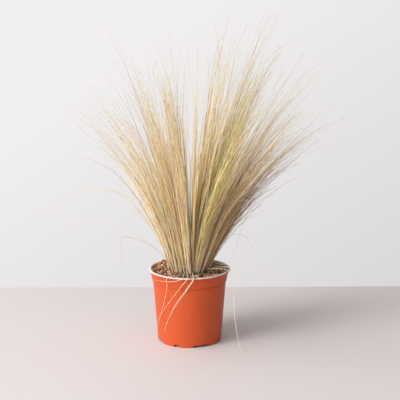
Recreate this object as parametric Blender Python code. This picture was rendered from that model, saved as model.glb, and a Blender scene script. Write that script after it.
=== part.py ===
"""Mexican feather grass in a nursery pot: a fountain of fine leaf tufts in a thin tapered plastic pot.

Metres, +Z up. The origin is on the pot's axis, on the surface that it stands on.
-Y is the side that faces the viewer and +X is the viewer's right.
"""

import math

import bmesh
import bpy
import numpy as np
from mathutils import Matrix, Vector

# Pot, measured on its outer surface
POT_HEIGHT = 0.117
LIP_RADIUS = 0.065
BAND_TOP_RADIUS = 0.0622
BAND_BOTTOM_RADIUS = 0.0592
BODY_TOP_RADIUS = 0.0582
BASE_RADIUS = 0.0508
BAND_BOTTOM = 0.0970
STEP_HEIGHT = 0.0015
LIP_DEPTH = 0.0040
WALL = 0.0010
FLOOR_UNDERSIDE = 0.0040
FLOOR_THICKNESS = 0.0015
SKIRT_WIDTH = 0.0018
POT_SEGMENTS = 48

# Notches in the foot skirt and drain holes in the floor; angles run anticlockwise from +X
WIDE_NOTCH_ANGLE = 28
NARROW_NOTCH_ANGLE = 9
FIRST_WIDE_NOTCH = 290.6
NOTCH_HEIGHT = 0.0034
DRAIN_HOLES = 5
FIRST_DRAIN_HOLE = 93.4
DRAIN_RADIUS = 0.004
DRAIN_CIRCLE = 0.032

# Soil and crown
SEAT_GAP = 0.0003
SOIL_EDGE = 0.1125
SOIL_BUMP = 0.0009
SOIL_RINGS = 6
MOUND_CENTRE = (-0.036, 0.030)
MOUND_HEIGHT = 0.0075
MOUND_RADIUS = 0.016
CROWN_RADIUS = 0.0352
CROWN_BOTTOM = 0.1050
CROWN_TOP = 0.1185
CROWN_EDGE = 0.0006

# Tufts stand on the crown in rings, one in the heart and six more in each ring outwards
TUFT_PITCH = 0.0094
TUFT_RINGS = (("heart", 1), ("inner", 6), ("middle", 12), ("outer", 18))
RING_TURN = (0, 12, 4, 9)
TUFT_FOOT_RADIUS = 0.0038
TUFT_BELLY_RADIUS = 0.0062
TUFT_TIP_RADIUS = 0.0011
TUFT_BELLY = 0.55
TUFT_SIDES = 8
TUFT_STATIONS = 9
HEART_LENGTH = 0.378
OUTER_LENGTH = 0.322
LENGTH_SPREAD = 0.014

# How the tufts lean, in degrees from upright, at the outer ring
LEFT_FOOT_LEAN = 15.0
RIGHT_FOOT_LEAN = 25.0
DEPTH_FOOT_LEAN = 23.0
LEFT_TIP_LEAN = 37.0
RIGHT_TIP_LEAN = 46.0
DEPTH_TIP_LEAN = 41.0
LEAN_POWER = 1.4
PARTING_X = 0.0030
PARTING_WIDTH = 0.0030
PARTING_LEAN = 3.5

# Single leaves that have bent out of the tufts
STRAY_RADIUS = 0.0006
STRAY_POINTS = 26
STRAY_LEAVES = {
    "left_arching_leaf": (
        (-0.0283, -0.0190, 0.1191), (-0.045, -0.033, 0.165), (-0.059, -0.044, 0.193),
        (-0.074, -0.051, 0.216), (-0.091, -0.055, 0.239), (-0.111, -0.058, 0.252),
        (-0.136, -0.062, 0.258), (-0.151, -0.065, 0.256), (-0.185, -0.071, 0.243),
        (-0.225, -0.078, 0.214),
    ),
    "left_drooping_leaf": (
        (-0.0245, -0.0237, 0.1191), (-0.045, -0.043, 0.152), (-0.071, -0.057, 0.178),
        (-0.098, -0.064, 0.194), (-0.120, -0.068, 0.204), (-0.141, -0.071, 0.210),
        (-0.166, -0.073, 0.208), (-0.186, -0.074, 0.200),
    ),
    "right_arching_leaf": (
        (0.0322, -0.0110, 0.1191), (0.047, -0.018, 0.129), (0.070, -0.025, 0.133),
        (0.098, -0.030, 0.128), (0.131, -0.035, 0.111), (0.153, -0.040, 0.097),
        (0.179, -0.045, 0.079), (0.207, -0.050, 0.056),
    ),
    "right_bent_leaf": (
        (0.0298, -0.0162, 0.1191), (0.045, -0.023, 0.1245), (0.058, -0.0285, 0.1265),
        (0.067, -0.032, 0.1235), (0.074, -0.035, 0.114), (0.079, -0.038, 0.101),
        (0.081, -0.040, 0.087), (0.080, -0.042, 0.068),
    ),
    "right_trailing_leaf": (
        (0.0268, -0.0208, 0.1191), (0.042, -0.031, 0.1235), (0.056, -0.036, 0.1235),
        (0.064, -0.037, 0.117), (0.069, -0.038, 0.095), (0.070, -0.041, 0.059),
        (0.073, -0.048, 0.031), (0.076, -0.055, 0.013), (0.079, -0.062, 0.0030),
        (0.083, -0.071, 0.0011), (0.087, -0.081, 0.0009),
    ),
    "rear_arching_leaf": (
        (0.0155, 0.0303, 0.1191), (0.030, 0.058, 0.162), (0.043, 0.092, 0.196),
        (0.054, 0.130, 0.214), (0.062, 0.162, 0.214), (0.066, 0.187, 0.204),
    ),
}

# Leaves that hang over the front of the rim: how far each stands off the pot beyond the rest,
# then its places as a bearing in degrees from -Y towards +X, and a height
HUGGING_LEAVES = {
    "front_leaf_bright": (0, ((5, 0.1165), (-6, 0.0957), (-22.7, 0.0713), (-37, 0.0449), (-48, 0.0232))),
    "front_leaf_long": (0, ((-3, 0.1165), (-19, 0.0930), (-37.4, 0.0690), (-56, 0.0453), (-82, 0.0080))),
    "front_leaf_band": (0, ((-9, 0.1165), (-21.8, 0.1115), (-45, 0.1074), (-70, 0.1040))),
    "front_leaf_side": (0.0028, ((-30, 0.1165), (-36, 0.0907), (-47, 0.0586), (-64, 0.0341))),
}
HUG_CLEARANCE = 0.0012
RIM_CLEARANCE = 0.0014
HUG_POINTS = 14
FOOT_ON_CROWN = 0.0335

ORANGE_PLASTIC = (0.72, 0.13, 0.035, 1)
DARK_SOIL = (0.045, 0.022, 0.014, 1)
DRY_SHEATH = (0.46, 0.34, 0.19, 1)
STRAW = (0.62, 0.47, 0.26, 1)
PALE_STRAW = (0.80, 0.66, 0.45, 1)


def clear_scene():
    for thing in list(bpy.data.objects):
        bpy.data.objects.remove(thing, do_unlink=True)


def principled(name, colour, roughness, metallic=0.0):
    material = bpy.data.materials.new(name)
    material.use_nodes = True
    shader = material.node_tree.nodes["Principled BSDF"]
    shader.inputs["Base Color"].default_value = colour
    shader.inputs["Roughness"].default_value = roughness
    shader.inputs["Metallic"].default_value = metallic
    return material


def add_object(name, bm, material, smooth_degrees=40):
    bmesh.ops.recalc_face_normals(bm, faces=bm.faces)
    mesh = bpy.data.meshes.new(name)
    bm.to_mesh(mesh)
    bm.free()
    mesh.materials.append(material)
    mesh.shade_smooth()
    mesh.set_sharp_from_angle(angle=math.radians(smooth_degrees))
    thing = bpy.data.objects.new(name, mesh)
    bpy.context.scene.collection.objects.link(thing)
    return thing


def turned(rings, segments):
    """A closed solid of revolution. rings is a list of (radius, height or function of angle)."""
    bm = bmesh.new()
    loops = []
    for radius, height in rings:
        loop = []
        for i in range(segments):
            angle = 2 * math.pi * i / segments
            z = height(radius, angle) if callable(height) else height
            loop.append(bm.verts.new((radius * math.cos(angle), radius * math.sin(angle), z)))
        loops.append(loop)
    for lower, upper in zip(loops, loops[1:]):
        for i in range(segments):
            j = (i + 1) % segments
            bm.faces.new((lower[i], lower[j], upper[j], upper[i]))
    for loop in (loops[0], loops[-1]):
        middle = bm.verts.new((0, 0, loop[0].co.z))
        for i in range(segments):
            bm.faces.new((loop[i], loop[(i + 1) % segments], middle))
    return bm


def body_radius(height):
    """Outer radius of the pot below its step."""
    return BASE_RADIUS + (BODY_TOP_RADIUS - BASE_RADIUS) * height / BAND_BOTTOM


def outer_radius(height):
    """Outer radius of the pot at a height, from its foot to under its lip."""
    if height < BAND_BOTTOM:
        return body_radius(height)
    rise = (height - BAND_BOTTOM) / (POT_HEIGHT - LIP_DEPTH - BAND_BOTTOM)
    return BAND_BOTTOM_RADIUS + (BAND_TOP_RADIUS - BAND_BOTTOM_RADIUS) * min(rise, 1)


def ring_cutter(name, centre_degrees, width_degrees):
    """A block across the skirt wall that cuts one notch up from the ground."""
    bm = bmesh.new()
    steps = 4
    inner = BASE_RADIUS - 3 * SKIRT_WIDTH
    outer = BASE_RADIUS + SKIRT_WIDTH
    columns = []
    for i in range(steps + 1):
        angle = math.radians(centre_degrees + width_degrees * (i / steps - 0.5))
        direction = Vector((math.cos(angle), math.sin(angle), 0))
        corners = []
        low, high = -SKIRT_WIDTH, NOTCH_HEIGHT
        section = ((inner, low), (outer, low), (outer, high), (inner, high))
        for radius, height in section:
            corners.append(bm.verts.new(direction * radius + Vector((0, 0, height))))
        columns.append(corners)
    for first, second in zip(columns, columns[1:]):
        for k in range(4):
            bm.faces.new((first[k], first[(k + 1) % 4], second[(k + 1) % 4], second[k]))
    bm.faces.new(columns[0])
    bm.faces.new(list(reversed(columns[-1])))
    return as_cutter(name, bm)


def drain_cutter(name, angle_degrees):
    bm = bmesh.new()
    angle = math.radians(angle_degrees)
    centre = (DRAIN_CIRCLE * math.cos(angle), DRAIN_CIRCLE * math.sin(angle), FLOOR_UNDERSIDE)
    bmesh.ops.create_cone(
        bm, cap_ends=True, segments=12, radius1=DRAIN_RADIUS, radius2=DRAIN_RADIUS,
        depth=6 * FLOOR_THICKNESS, matrix=Matrix.Translation(centre),
    )
    return as_cutter(name, bm)


def as_cutter(name, bm):
    bmesh.ops.recalc_face_normals(bm, faces=bm.faces)
    mesh = bpy.data.meshes.new(name)
    bm.to_mesh(mesh)
    bm.free()
    cutter = bpy.data.objects.new(name, mesh)
    bpy.context.scene.collection.objects.link(cutter)
    cutter.hide_render = True
    cutter.display_type = "WIRE"
    return cutter


def make_pot():
    """A thin moulded shell with a rolled lip, a rim band, a tapered body and a skirt that it stands on."""
    band_top = POT_HEIGHT - LIP_DEPTH
    inner_base = body_radius(FLOOR_UNDERSIDE + FLOOR_THICKNESS) - WALL
    rings = [
        (0.5 * DRAIN_CIRCLE, FLOOR_UNDERSIDE),
        (BASE_RADIUS - SKIRT_WIDTH, FLOOR_UNDERSIDE),
        (BASE_RADIUS - SKIRT_WIDTH, 0),
        (BASE_RADIUS, 0),
        (BODY_TOP_RADIUS, BAND_BOTTOM),
        (BAND_BOTTOM_RADIUS, BAND_BOTTOM + STEP_HEIGHT),
        (BAND_TOP_RADIUS, band_top),
        (LIP_RADIUS - 0.0006, band_top + 0.0002),
        (LIP_RADIUS, band_top + 0.0012),
        (LIP_RADIUS, POT_HEIGHT - 0.0010),
        (LIP_RADIUS - 0.0009, POT_HEIGHT),
        (BAND_TOP_RADIUS - 0.0002, POT_HEIGHT),
        (BAND_TOP_RADIUS - WALL, POT_HEIGHT - 0.0010),
        (BAND_BOTTOM_RADIUS - WALL, BAND_BOTTOM + STEP_HEIGHT),
        (BODY_TOP_RADIUS - WALL, BAND_BOTTOM),
        (inner_base, FLOOR_UNDERSIDE + FLOOR_THICKNESS),
        (0.5 * DRAIN_CIRCLE, FLOOR_UNDERSIDE + FLOOR_THICKNESS),
    ]
    material = principled("orange_plastic", ORANGE_PLASTIC, 0.42)
    pot = add_object("nursery_pot", turned(rings, POT_SEGMENTS), material, 30)
    cutters = []
    for k in range(4):
        wide = FIRST_WIDE_NOTCH + 90 * k
        cutters.append(ring_cutter(f"wide_notch_{k + 1}", wide, WIDE_NOTCH_ANGLE))
        cutters.append(ring_cutter(f"narrow_notch_{k + 1}", wide + 45, NARROW_NOTCH_ANGLE))
    for k in range(DRAIN_HOLES):
        cutters.append(drain_cutter(f"drain_hole_{k + 1}", FIRST_DRAIN_HOLE + 360 * k / DRAIN_HOLES))
    for cutter in cutters:
        cut = pot.modifiers.new(cutter.name, "BOOLEAN")
        cut.object = cutter
        cut.operation = "DIFFERENCE"


def soil_height(radius, angle):
    """Surface of the potting soil: gentle lumps, and a mound at the left towards the back."""
    x = radius * math.cos(angle)
    y = radius * math.sin(angle)
    lumps = math.sin(230 * x + 0.7) * math.cos(260 * y - 0.4) + 0.7 * math.sin(410 * x - 350 * y)
    away = math.hypot(x - MOUND_CENTRE[0], y - MOUND_CENTRE[1]) / MOUND_RADIUS
    return SOIL_EDGE + SOIL_BUMP * lumps + MOUND_HEIGHT * math.exp(-away * away)


def make_soil():
    """A plug of potting soil that fills the pot, with a seat for the crown in its top."""
    floor = FLOOR_UNDERSIDE + FLOOR_THICKNESS + SEAT_GAP
    wall = WALL + SEAT_GAP
    top_radius = outer_radius(SOIL_EDGE) - wall - 3 * SEAT_GAP
    seat_radius = CROWN_RADIUS + SEAT_GAP
    rings = [
        (0.5 * DRAIN_CIRCLE, floor),
        (body_radius(floor) - wall - SEAT_GAP, floor),
        (BODY_TOP_RADIUS - wall, BAND_BOTTOM - STEP_HEIGHT),
        (BODY_TOP_RADIUS - wall, BAND_BOTTOM + STEP_HEIGHT),
    ]
    for i in range(SOIL_RINGS + 1):
        share = i / SOIL_RINGS
        rings.append((top_radius + (seat_radius - top_radius) * share, soil_height))
    rings.append((seat_radius, CROWN_BOTTOM - SEAT_GAP))
    rings.append((0.5 * seat_radius, CROWN_BOTTOM - SEAT_GAP))
    material = principled("potting_soil", DARK_SOIL, 0.95)
    add_object("potting_soil", turned(rings, POT_SEGMENTS), material)


def make_crown():
    """The knot of shoot bases that every tuft grows from."""
    rings = [
        (0.5 * CROWN_RADIUS, CROWN_BOTTOM),
        (CROWN_RADIUS - CROWN_EDGE, CROWN_BOTTOM),
        (CROWN_RADIUS, CROWN_BOTTOM + CROWN_EDGE),
        (CROWN_RADIUS, CROWN_TOP - CROWN_EDGE),
        (CROWN_RADIUS - CROWN_EDGE, CROWN_TOP),
        (0.5 * CROWN_RADIUS, CROWN_TOP),
    ]
    add_object("crown", turned(rings, 32), principled("dry_sheath", DRY_SHEATH, 0.8))


def leans(x, y):
    """Lean at the foot and at the tip, sideways and in depth, for a leaf rooted at x, y."""
    reach = TUFT_PITCH * 3
    parting = PARTING_LEAN * math.tanh((x - PARTING_X) / PARTING_WIDTH)
    foot_x, tip_x = (RIGHT_FOOT_LEAN, RIGHT_TIP_LEAN) if x > 0 else (LEFT_FOOT_LEAN, LEFT_TIP_LEAN)
    foot = (foot_x * x / reach + parting, DEPTH_FOOT_LEAN * y / reach)
    tip = (tip_x * x / reach + parting, DEPTH_TIP_LEAN * y / reach)
    return foot, tip


def leaf_path(x, y, length, steps):
    """Points along a leaf that rises from x, y on the crown and arches outwards."""
    foot, tip = leans(x, y)
    points = [Vector((x, y, CROWN_TOP + SEAT_GAP))]
    fine = 4 * steps
    here = points[0].copy()
    for i in range(fine):
        turn = ((i + 0.5) / fine) ** LEAN_POWER
        slope_x = math.tan(math.radians(foot[0] + (tip[0] - foot[0]) * turn))
        slope_y = math.tan(math.radians(foot[1] + (tip[1] - foot[1]) * turn))
        here = here + Vector((slope_x, slope_y, 1)).normalized() * (length / fine)
        if i % 4 == 3:
            points.append(here.copy())
    return points


def tuft_radius(share):
    """A tuft swells from its foot to its belly, and thins to its tip."""
    if share < TUFT_BELLY:
        rise = math.sin(0.5 * math.pi * share / TUFT_BELLY)
        return TUFT_FOOT_RADIUS + (TUFT_BELLY_RADIUS - TUFT_FOOT_RADIUS) * rise
    fall = (share - TUFT_BELLY) / (1 - TUFT_BELLY)
    return TUFT_TIP_RADIUS + (TUFT_BELLY_RADIUS - TUFT_TIP_RADIUS) * (1 - fall ** 1.5)


def make_tuft(name, x, y, length, material):
    """One tuft of fine leaves as a closed tapering horn, flat at its foot."""
    path = leaf_path(x, y, length, TUFT_STATIONS)
    bm = bmesh.new()
    loops = []
    for i, centre in enumerate(path):
        ahead = path[min(i + 1, len(path) - 1)]
        along = (ahead - path[i - 1]).normalized() if i else Vector((0, 0, 1))
        side = Vector((0, 1, 0)).cross(along).normalized()
        other = along.cross(side)
        radius = tuft_radius(i / TUFT_STATIONS)
        loop = []
        for k in range(TUFT_SIDES):
            angle = 2 * math.pi * k / TUFT_SIDES
            offset = math.cos(angle) * side + math.sin(angle) * other
            loop.append(bm.verts.new(centre + radius * offset))
        loops.append(loop)
    for lower, upper in zip(loops, loops[1:]):
        for k in range(TUFT_SIDES):
            j = (k + 1) % TUFT_SIDES
            bm.faces.new((lower[k], lower[j], upper[j], upper[k]))
    bm.faces.new(list(reversed(loops[0])))
    bm.faces.new(loops[-1])
    add_object(name, bm, material, 60)


def tuft_places():
    """Name and foot of every tuft, ring by ring."""
    for ring, (title, count) in enumerate(TUFT_RINGS):
        for k in range(count):
            angle = math.radians(360 * k / count + RING_TURN[ring])
            name = f"{title}_tuft" if count == 1 else f"{title}_tuft_{k + 1}"
            radius = ring * TUFT_PITCH
            yield name, radius * math.cos(angle), radius * math.sin(angle), ring


def make_tufts():
    material = principled("straw_leaf", STRAW, 0.6)
    lengths = np.random.default_rng(7)
    for name, x, y, ring in tuft_places():
        reach = ring / (len(TUFT_RINGS) - 1)
        length = HEART_LENGTH + (OUTER_LENGTH - HEART_LENGTH) * reach ** 2
        length += LENGTH_SPREAD * float(lengths.uniform(-1, 1))
        make_tuft(name, x, y, length, material)


def smooth_route(points, count):
    """Points of a Catmull-Rom curve through a leaf's own points."""
    knots = [Vector(p) for p in points]
    knots = [2 * knots[0] - knots[1]] + knots + [2 * knots[-1] - knots[-2]]
    spans = len(knots) - 3
    route = []
    for i in range(count):
        place = spans * i / (count - 1)
        span = min(int(place), spans - 1)
        t = place - span
        a, b, c, d = knots[span:span + 4]
        squared = 2 * a - 5 * b + 4 * c - d
        cubed = 3 * b - a - 3 * c + d
        route.append(0.5 * (2 * b + (c - a) * t + squared * t * t + cubed * t ** 3))
    return route


def make_stray_leaf(name, points, material):
    """A single thin leaf as a tube along its route."""
    curve = bpy.data.curves.new(name, "CURVE")
    curve.dimensions = "3D"
    curve.bevel_depth = STRAY_RADIUS
    curve.bevel_resolution = 1
    curve.use_fill_caps = True
    route = smooth_route(points, STRAY_POINTS)
    spline = curve.splines.new("POLY")
    spline.points.add(len(route) - 1)
    for point, place in zip(spline.points, route):
        point.co = (*place, 1)
    curve.materials.append(material)
    leaf = bpy.data.objects.new(name, curve)
    bpy.context.scene.collection.objects.link(leaf)


def hugging_points(lift, places):
    """Route of a leaf that leaves the crown, crosses the rim and follows the outside of the pot."""
    start = math.radians(places[0][0])
    over_rim = (
        (FOOT_ON_CROWN, CROWN_TOP + STRAY_RADIUS + SEAT_GAP),
        (0.045, POT_HEIGHT + 0.0045),
        (0.056, POT_HEIGHT + 0.0042),
        (0.0625, POT_HEIGHT + 0.0022),
    )
    points = [(r * math.sin(start), -r * math.cos(start), z) for r, z in over_rim]
    flat = [(bearing, height, 0) for bearing, height in places]
    for bearing, height, _ in smooth_route(flat, HUG_POINTS):
        angle = math.radians(bearing)
        if height > POT_HEIGHT - 2 * LIP_DEPTH:
            radius = LIP_RADIUS + RIM_CLEARANCE + lift
        else:
            radius = outer_radius(height) + HUG_CLEARANCE + lift
        points.append((radius * math.sin(angle), -radius * math.cos(angle), height))
    return points


def make_stray_leaves():
    material = principled("pale_leaf", PALE_STRAW, 0.5)
    for name, points in STRAY_LEAVES.items():
        make_stray_leaf(name, points, material)
    for name, (lift, places) in HUGGING_LEAVES.items():
        make_stray_leaf(name, hugging_points(lift, places), material)


def main():
    clear_scene()
    make_pot()
    make_soil()
    make_crown()
    make_tufts()
    make_stray_leaves()


main()
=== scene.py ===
"""Looks of a potted feather grass: fine leaf tufts, bent leaves, soil and a moulded nursery pot."""

import math

import bmesh
import bpy
import numpy as np
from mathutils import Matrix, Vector


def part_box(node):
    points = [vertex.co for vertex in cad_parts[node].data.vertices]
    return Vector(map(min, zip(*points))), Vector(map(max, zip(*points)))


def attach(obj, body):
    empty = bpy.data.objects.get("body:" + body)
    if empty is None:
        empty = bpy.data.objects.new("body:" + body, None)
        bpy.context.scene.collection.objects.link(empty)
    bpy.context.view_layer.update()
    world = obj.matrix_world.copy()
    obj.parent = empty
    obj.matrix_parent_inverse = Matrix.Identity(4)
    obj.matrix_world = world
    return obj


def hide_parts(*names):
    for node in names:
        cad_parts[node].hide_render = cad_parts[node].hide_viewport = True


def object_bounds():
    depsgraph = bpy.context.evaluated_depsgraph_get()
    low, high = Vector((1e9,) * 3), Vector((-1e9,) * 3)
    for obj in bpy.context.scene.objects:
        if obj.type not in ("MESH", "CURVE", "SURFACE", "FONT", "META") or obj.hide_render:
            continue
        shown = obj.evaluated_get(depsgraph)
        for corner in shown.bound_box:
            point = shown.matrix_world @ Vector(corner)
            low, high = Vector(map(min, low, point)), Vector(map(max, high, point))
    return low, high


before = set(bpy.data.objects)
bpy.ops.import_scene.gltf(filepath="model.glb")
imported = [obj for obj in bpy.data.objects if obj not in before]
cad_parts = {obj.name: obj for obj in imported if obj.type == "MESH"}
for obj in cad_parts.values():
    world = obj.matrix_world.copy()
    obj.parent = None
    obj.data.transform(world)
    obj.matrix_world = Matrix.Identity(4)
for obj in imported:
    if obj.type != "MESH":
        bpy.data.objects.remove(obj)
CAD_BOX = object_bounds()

bl_info = {
    "name": "Feather Grass",
    "version": (1, 0, 0),
    "blender": (4, 5, 0),
    "location": "View3D > Sidebar > Feather Grass",
    "description": "Builds a feather grass in its nursery pot around a packed model",
    "category": "Object",
}

BODY = "root"

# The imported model's own measures, which the looks follow
POT_LOW, POT_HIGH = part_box("nursery_pot")
CROWN_LOW, CROWN_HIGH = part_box("crown")
POT_HEIGHT = POT_HIGH.z
LIP_RADIUS = POT_HIGH.x
CROWN_TOP = CROWN_HIGH.z
CROWN_RADIUS = CROWN_HIGH.x

# Pot profile, as in the construction
BAND_TOP_RADIUS = 0.0622
BAND_BOTTOM_RADIUS = 0.0592
BODY_TOP_RADIUS = 0.0582
BASE_RADIUS = 0.0508
BAND_BOTTOM = 0.0970
STEP_HEIGHT = 0.0015
LIP_DEPTH = 0.0040
WALL = 0.0010
FLOOR_UNDERSIDE = 0.0040
FLOOR_THICKNESS = 0.0015
SKIRT_WIDTH = 0.0018
NOTCHES = 8
NOTCH_HEIGHT = 0.0034
WIDE_NOTCH_ANGLE = 28
NARROW_NOTCH_ANGLE = 9
FIRST_WIDE_NOTCH = 290.6
DRAIN_HOLES = 5
FIRST_DRAIN_HOLE = 93.4
DRAIN_RADIUS = 0.004
DRAIN_CIRCLE = 0.032

# Finer parts of the pot's profile: the groove under the band's ledge, and how far the ledge stands out
GROOVE_DEPTH = 0.0005
LEDGE_REACH = 0.0004

# Soil, as in the construction
SEAT_GAP = 0.0003
SOIL_EDGE = 0.1125
MOUND_CENTRE = (-0.036, 0.030)
MOUND_HEIGHT = 0.0075
MOUND_RADIUS = 0.016

# Tufts in rings: how far apart, how many, how far each ring is turned and how long, as in the construction
TUFT_PITCH = 0.0094
TUFT_RINGS = (("heart", 1), ("inner", 6), ("middle", 12), ("outer", 18))
RING_TURN = (0, 12, 4, 9)
HEART_LENGTH = 0.378
OUTER_LENGTH = 0.322
LENGTH_SPREAD = 0.014

# How the leaves lean, in degrees from upright at the outer ring, as in the construction
LEFT_FOOT_LEAN = 15.0
RIGHT_FOOT_LEAN = 25.0
DEPTH_FOOT_LEAN = 23.0
LEFT_TIP_LEAN = 37.0
RIGHT_TIP_LEAN = 46.0
DEPTH_TIP_LEAN = 41.0
LEAN_POWER = 1.4
PARTING_X = 0.0030
PARTING_WIDTH = 0.0030
PARTING_LEAN = 3.5

# Routes of the single bent leaves, as in the construction
STRAY_LEAVES = {
    "left_arching_leaf": (
        (-0.0283, -0.0190, 0.1191), (-0.045, -0.033, 0.165), (-0.059, -0.044, 0.193),
        (-0.074, -0.051, 0.216), (-0.091, -0.055, 0.239), (-0.111, -0.058, 0.252),
        (-0.136, -0.062, 0.258), (-0.151, -0.065, 0.256), (-0.185, -0.071, 0.243),
        (-0.225, -0.078, 0.214),
    ),
    "left_drooping_leaf": (
        (-0.0245, -0.0237, 0.1191), (-0.045, -0.043, 0.152), (-0.071, -0.057, 0.178),
        (-0.098, -0.064, 0.194), (-0.120, -0.068, 0.204), (-0.141, -0.071, 0.210),
        (-0.166, -0.073, 0.208), (-0.186, -0.074, 0.200),
    ),
    "right_arching_leaf": (
        (0.0322, -0.0110, 0.1191), (0.047, -0.018, 0.129), (0.070, -0.025, 0.133),
        (0.098, -0.030, 0.128), (0.131, -0.035, 0.111), (0.153, -0.040, 0.097),
        (0.179, -0.045, 0.079), (0.207, -0.050, 0.056),
    ),
    "right_bent_leaf": (
        (0.0298, -0.0162, 0.1191), (0.045, -0.023, 0.1245), (0.058, -0.0285, 0.1265),
        (0.067, -0.032, 0.1235), (0.074, -0.035, 0.114), (0.079, -0.038, 0.101),
        (0.081, -0.040, 0.087), (0.080, -0.042, 0.068),
    ),
    "right_trailing_leaf": (
        (0.0268, -0.0208, 0.1191), (0.042, -0.031, 0.1235), (0.056, -0.036, 0.1235),
        (0.064, -0.037, 0.117), (0.069, -0.038, 0.095), (0.070, -0.041, 0.059),
        (0.073, -0.048, 0.031), (0.076, -0.055, 0.013), (0.079, -0.062, 0.0030),
        (0.083, -0.071, 0.0011), (0.087, -0.081, 0.0009),
    ),
    "rear_arching_leaf": (
        (0.0155, 0.0303, 0.1191), (0.030, 0.058, 0.162), (0.043, 0.092, 0.196),
        (0.054, 0.130, 0.214), (0.062, 0.162, 0.214), (0.066, 0.187, 0.204),
    ),
}

# Leaves over the front of the rim: lift off the pot, then bearings from -Y towards +X and heights
HUGGING_LEAVES = {
    "front_leaf_bright": (0, ((5, 0.1165), (-6, 0.0957), (-22.7, 0.0713), (-37, 0.0449), (-48, 0.0232))),
    "front_leaf_long": (0, ((-3, 0.1165), (-19, 0.0930), (-37.4, 0.0690), (-56, 0.0453), (-82, 0.0080))),
    "front_leaf_band": (0, ((-9, 0.1165), (-21.8, 0.1115), (-45, 0.1074), (-70, 0.1040))),
    "front_leaf_side": (0.0028, ((-30, 0.1165), (-36, 0.0907), (-47, 0.0586), (-64, 0.0341))),
}

# Tint, width and strands of the bent leaves, and of those that differ from the rest
PLAIN_STRAND = (0.05, 0.00075, 1)
STRAND_LOOKS = {
    "left_arching_leaf": (0.16, 0.00085, 4),
    "left_drooping_leaf": (0.20, 0.00060, 2),
    "right_arching_leaf": (0.20, 0.00060, 1),
    "right_trailing_leaf": (0.02, 0.00110, 1),
    "front_leaf_bright": (0.02, 0.00092, 2),
    "front_leaf_long": (0.10, 0.00072, 1),
}

# Fine broken and curled leaves around the clump: tint, width and route
WISPS = {
    "kinked_wisp": (0.66, 0.0006, (
        (-0.026, -0.022, 0.1180), (-0.048, -0.044, 0.155), (-0.075, -0.059, 0.176),
        (-0.1015, -0.0645, 0.1830), (-0.1035, -0.0655, 0.165), (-0.104, -0.066, 0.149),
        (-0.100, -0.066, 0.144),
    )),
    "hanging_wisp": (0.68, 0.0006, (
        (0.030, -0.012, 0.1180), (0.052, -0.016, 0.165), (0.076, -0.020, 0.205), (0.0895, -0.022, 0.2165),
        (0.0905, -0.023, 0.211), (0.082, -0.024, 0.186), (0.0745, -0.0245, 0.162), (0.067, -0.025, 0.139),
    )),
    "angled_wisp": (0.68, 0.0006, (
        (0.028, -0.016, 0.1180), (0.046, -0.022, 0.150), (0.060, -0.026, 0.172), (0.070, -0.028, 0.1775),
        (0.080, -0.029, 0.177), (0.089, -0.030, 0.174), (0.096, -0.031, 0.162), (0.103, -0.032, 0.149),
    )),
    "hooked_wisp": (0.62, 0.0006, (
        (0.030, -0.004, 0.1180), (0.058, -0.006, 0.165), (0.082, -0.008, 0.205), (0.098, -0.009, 0.222),
        (0.107, -0.010, 0.2245), (0.112, -0.010, 0.219), (0.110, -0.010, 0.213),
    )),
    "tall_left_wisp": (0.66, 0.0006, (
        (-0.012, -0.006, 0.1180), (-0.036, -0.016, 0.22), (-0.058, -0.020, 0.331), (-0.089, -0.022, 0.418),
        (-0.108, -0.022, 0.462), (-0.124, -0.022, 0.497),
    )),
    "tall_right_wisp": (0.80, 0.0007, (
        (0.016, -0.004, 0.1180), (0.044, -0.010, 0.21), (0.078, -0.014, 0.31), (0.102, -0.016, 0.379),
        (0.112, -0.016, 0.434), (0.132, -0.016, 0.460), (0.158, -0.016, 0.478),
    )),
    "upper_right_wisp": (0.74, 0.0006, (
        (0.012, 0.002, 0.1180), (0.034, 0.004, 0.21), (0.052, 0.006, 0.31), (0.063, 0.006, 0.400),
        (0.072, 0.006, 0.457), (0.088, 0.006, 0.497),
    )),
    "upper_middle_wisp": (0.66, 0.0006, (
        (0.010, -0.008, 0.1180), (0.026, -0.014, 0.21), (0.040, -0.020, 0.31), (0.046, -0.022, 0.400),
        (0.045, -0.022, 0.457), (0.038, -0.022, 0.503),
    )),
    "crossing_wisp": (0.04, 0.0008, (
        (0.004, -0.030, 0.1180), (0.014, -0.040, 0.160), (0.030, -0.050, 0.208), (0.047, -0.055, 0.229),
        (0.068, -0.060, 0.2375), (0.090, -0.064, 0.2375), (0.104, -0.066, 0.230),
    )),
    "rim_wisp": (0.08, 0.0006, (
        (0.031, -0.012, 0.1180), (0.050, -0.020, 0.1275), (0.066, -0.027, 0.129), (0.080, -0.032, 0.121),
        (0.090, -0.036, 0.103), (0.094, -0.038, 0.083),
    )),
    "rim_curl": (0.12, 0.0005, (
        (0.028, -0.018, 0.1180), (0.046, -0.030, 0.1245), (0.060, -0.038, 0.1270), (0.072, -0.043, 0.124),
        (0.079, -0.046, 0.115), (0.077, -0.047, 0.104), (0.070, -0.046, 0.098),
    )),
    "right_curled_wisp": (0.70, 0.0006, (
        (0.014, 0.008, 0.1180), (0.042, 0.014, 0.21), (0.074, 0.020, 0.31), (0.088, 0.022, 0.380),
        (0.102, 0.022, 0.440), (0.128, 0.022, 0.488),
    )),
}

# How far a front leaf stands off the pot and its rim, and where on the crown it starts
HUG_CLEARANCE = 0.0012
RIM_CLEARANCE = 0.0014
FOOT_ON_CROWN = 0.0335

# The camera, fitted to the pot's lip, step and foot in a 400 pixel picture
CAMERA_PLACE = (0.0, -1.5, 0.5255)
CAMERA_DOWN = 0.1964
CAMERA_YAW = -0.0112
CAMERA_LENS = 87.4
SENSOR = 36.0
FLOOR_END = 0.289

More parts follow.
